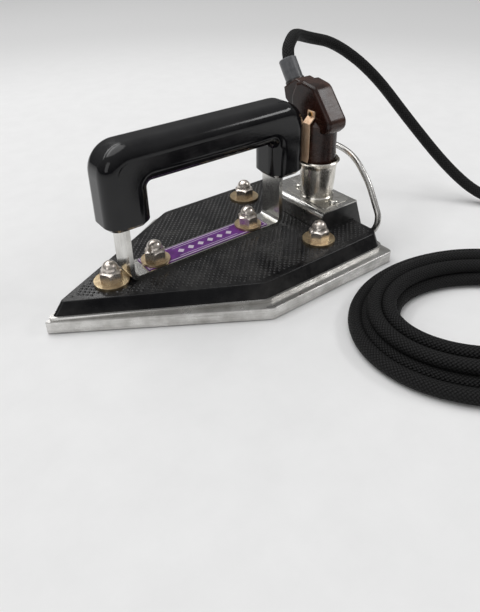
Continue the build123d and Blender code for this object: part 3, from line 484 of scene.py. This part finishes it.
# ---------------------------------------------------------------- cord
CORD_ROUTE = (
    (99.2, 17.4, 114.1),
    (99.2, 29.1, 131.5),
    (115.2, 40.6, 140.2),
    (128.0, 49.6, 139.0),
    (144.6, 54.0, 133.6),
    (168.9, 49.0, 127.5),
    (196.2, 30.0, 103.2),
    (217.3, 2.1, 63.5),
    (234.9, -30.2, 26.5),
    (245.6, -58.8, 7.0),
    (259.0, -84.0, 4.6),
    (261.0, -108.0, 4.6),
    (254.0, -131.0, 4.6),
    (241.0, -152.0, 4.6),
    (224.2, -170.1, 4.6),
    (204.4, -187.0, 4.6),
)
TAIL_ROUTE = (
    (128.0, -241.5, 9.5),
    (111.0, -249.0, 5.0),
    (93.0, -255.5, 6.0),
    (75.0, -260.5, 14.0),
    (57.0, -264.8, 14.0),
)
CORD_RADIUS = 4.5
CORD_FLOOR = 4.6
# A coil's edge is (centre x, centre y, half length, half width, turn in degrees), on the cord's line.
COIL_OUTER = (110.3, -159.6, 89.0, 67.8, -17.3)
COIL_INNER = (104.2, -156.0, 55.9, 39.7, -27.6)
COIL_STARTS = -30.0
TURN_POINTS = 18
FLOOR_RINGS = (0.0, 0.33, 0.66, 1.0)
UPPER_RINGS = (0.86, 0.48)
# A turn keeps to its ring for this share of the way round, then moves across to the following ring.
CROSSING_STARTS = 0.7
LEAST_RISE = 3.0
LEAVING_HEIGHT = 12.0


def coil_point(angle, ring, height):
    """A point on the coil: ring is 0 on its outer edge and 1 on its inner one."""
    x, y, long_half, short_half, turn = (
        outer + (inner - outer) * ring for outer, inner in zip(COIL_OUTER, COIL_INNER)
    )
    grow = 1 / cos(pi / TURN_POINTS)
    along, aside = long_half * grow * cos(radians(angle)), short_half * grow * sin(radians(angle))
    cosine, sine = cos(radians(turn)), sin(radians(turn))
    return (x + along * cosine - aside * sine, y + along * sine + aside * cosine, height)


def nested_height(angle, ring):
    """The height of a cord that lies between two floor turns, one each side of it."""
    step = FLOOR_RINGS[1] - FLOOR_RINGS[0]
    one = Vector(coil_point(angle, ring - step / 2, 0))
    other = Vector(coil_point(angle, ring + step / 2, 0))
    half_gap = (one - other).length / 2
    return CORD_FLOOR + sqrt(max((2 * CORD_RADIUS) ** 2 - half_gap**2, LEAST_RISE**2))


def coil_points():
    """Turns that lie flat on the floor, from the outside in, then turns that lie on them."""
    rings = [*FLOOR_RINGS, *UPPER_RINGS]
    points = []
    for turn, ring in enumerate(rings):
        following = rings[min(turn + 1, len(rings) - 1)]
        for step in range(TURN_POINTS):
            share = step / TURN_POINTS
            move = min(max((share - CROSSING_STARTS) / (1 - CROSSING_STARTS), 0.0), 1.0)
            move = move * move * (3 - 2 * move)
            angle = COIL_STARTS - 360 * share
            place = ring + (following - ring) * move
            low = CORD_FLOOR if turn < len(FLOOR_RINGS) else nested_height(angle, place)
            high = CORD_FLOOR if turn + 1 < len(FLOOR_RINGS) else nested_height(angle, place)
            points.append(coil_point(angle, place, low + (high - low) * move))
    last = UPPER_RINGS[-1]
    points.append(coil_point(COIL_STARTS, last * 0.9, LEAVING_HEIGHT))
    points.append(coil_point(COIL_STARTS - 20, last * 0.45, LEAVING_HEIGHT))
    return points


route = [*CORD_ROUTE, *coil_points(), *TAIL_ROUTE]
centreline = smooth_line([Vector(point) * MM for point in route], steps=6)
cord_mesh, cord_length = tube_mesh("mains_cord", centreline, CORD_RADIUS * MM, sides=18)
mains_cord = add_object("mains_cord", cord_mesh, BRAID, None)
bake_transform(mains_cord)
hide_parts("cord_tube", "cord_coil", "cord_tail")


# ---------------------------------------------------------------- embossed cover
def washer_centres():
    """The middle and radius of each clamp washer, from its own vertices."""
    vertices = [vertex.co.copy() for vertex in NODES["clamp_washers"].data.vertices]
    groups = (
        [v for v in vertices if v.x < 0],
        [v for v in vertices if v.x > 0 and v.y < 0],
        [v for v in vertices if v.x > 0 and v.y > 0],
    )
    places = []
    for group in groups:
        xs, ys = [v.x for v in group], [v.y for v in group]
        places.append(((min(xs) + max(xs)) / 2, (min(ys) + max(ys)) / 2, (max(xs) - min(xs)) / 2))
    return places


def cover_bosses():
    """Rows of low pressed bosses over the cover's flat top, clear of what stands on it."""
    low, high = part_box("top_cover")
    top = high.z
    pitch, boss, height, sides = 0.0042, 0.0012, 0.00045, 10
    crown_radius, crown_height, sunk = boss * 0.55, height * 0.75, 0.00002
    strap_low, strap_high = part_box("handle_strap")
    box_low, box_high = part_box("terminal_cover")
    round_places = washer_centres()
    # The flat top's outline: a point at the nose, straight edges to the shoulders, then parallel sides.
    nose, shoulder, half, heel = -0.1046, 0.0072, 0.0621, 0.1128
    margin = 0.0035
    strap_half = strap_high.y + margin / 2
    mesh = bpy.data.meshes.new("cover_bosses")
    shape = bmesh.new()
    slope = half / (shoulder - nose)
    normal = sqrt(1 + slope * slope)
    rows = int((high.y - low.y) / pitch) * 2
    for row in range(-rows, rows + 1):
        y = row * pitch / 2
        for column in range(int((heel - nose) / pitch) + 2):
            x = nose + (column + (row % 2) / 2) * pitch
            inside = min(half - abs(y), heel - x, (slope * (x - nose) - abs(y)) / normal)
            beside_strap = strap_low.x - margin / 2 < x < strap_high.x + margin / 2
            on_strap = abs(y) < strap_half and beside_strap
            on_box = box_low.x - margin / 2 < x and box_low.y - margin / 2 < y < box_high.y + margin / 2
            near = any(
                (x - centre_x) ** 2 + (y - centre_y) ** 2 < (radius + boss) ** 2
                for centre_x, centre_y, radius in round_places
            )
            if inside < margin or on_strap or on_box or near:
                continue
            rim = []
            shoulder_ring = []
            for side in range(sides):
                turn = 2 * pi * side / sides
                for ring, radius, z in (
                    (rim, boss, top - sunk),
                    (shoulder_ring, crown_radius, top + crown_height),
                ):
                    ring.append(shape.verts.new((x + radius * cos(turn), y + radius * sin(turn), z)))
            crown = shape.verts.new((x, y, top + height))
            for side in range(sides):
                other = (side + 1) % sides
                for corners in (
                    (rim[side], rim[other], shoulder_ring[other], shoulder_ring[side]),
                    (shoulder_ring[side], shoulder_ring[other], crown),
                ):
                    shape.faces.new(corners).smooth = True
    shape.to_mesh(mesh)
    shape.free()
    return mesh


bosses = add_object("cover_bosses", cover_bosses(), ENAMEL)

# ---------------------------------------------------------------- stage and light
FLOOR_REACH = 6.0
floor_mesh = bpy.data.meshes.new("floor")
floor_corners = [(x * FLOOR_REACH, y * FLOOR_REACH, 0) for x, y in ((-1, -1), (1, -1), (1, 1), (-1, 1))]
floor_mesh.from_pydata(floor_corners, [], [(0, 1, 2, 3)])
floor = bpy.data.objects.new("floor", floor_mesh)
bpy.context.scene.collection.objects.link(floor)
floor_mesh.materials.append(floor_material())
floor.location.z = -0.0002

world = bpy.data.worlds.new("studio")
bpy.context.scene.world = world
world.use_nodes = True
sky = world.node_tree
background = sky.nodes["Background"]
sky_coords = sky.nodes.new("ShaderNodeTexCoord")
sky_split = sky.nodes.new("ShaderNodeSeparateXYZ")
sky_ramp = sky.nodes.new("ShaderNodeValToRGB")
sky.links.new(sky_coords.outputs["Generated"], sky_split.inputs[0])
sky.links.new(sky_split.outputs[2], sky_ramp.inputs[0])
sky.links.new(sky_ramp.outputs[0], background.inputs[0])
for element, (height, tone) in zip(sky_ramp.color_ramp.elements, ((0.0, 0.22), (0.85, 1.0))):
    element.position = height
    element.color = (tone, tone, tone, 1.0)
background.inputs[1].default_value = 0.42


def soft_light(name, place, aim_at, size, power):
    """A softbox that points at a place."""
    data = bpy.data.lights.new(name, "AREA")
    data.shape = "RECTANGLE"
    data.size, data.size_y = size
    data.energy = power
    light = bpy.data.objects.new(name, data)
    bpy.context.scene.collection.objects.link(light)
    light.location = place
    light.rotation_mode = "QUATERNION"
    light.rotation_quaternion = (Vector(aim_at) - Vector(place)).to_track_quat("-Z", "Y")


def sun_light(name, direction, strength, spread):
    """An even light from far away, softened over a wide part of the sky."""
    data = bpy.data.lights.new(name, "SUN")
    data.energy = strength
    data.angle = radians(spread)
    light = bpy.data.objects.new(name, data)
    bpy.context.scene.collection.objects.link(light)
    light.rotation_mode = "QUATERNION"
    light.rotation_quaternion = Vector(direction).to_track_quat("-Z", "Y")


sun_light("overhead", (0.15, -0.25, -1.0), 1.2, 55.0)
soft_light("key_low", (-0.3, 0.98, 0.92), (0.05, 0.0, 0.05), (1.5, 0.1), 2.4)
soft_light("key_high", (-0.3, 0.74, 1.24), (0.05, 0.0, 0.05), (1.5, 0.1), 2.6)
soft_light("fill", (-1.2, -0.5, 0.6), (0.0, 0.0, 0.05), (0.5, 0.7), 1.4)
soft_light("side", (0.95, -0.56, 0.86), (0.08, 0.0, 0.1), (0.6, 0.22), 2.6)
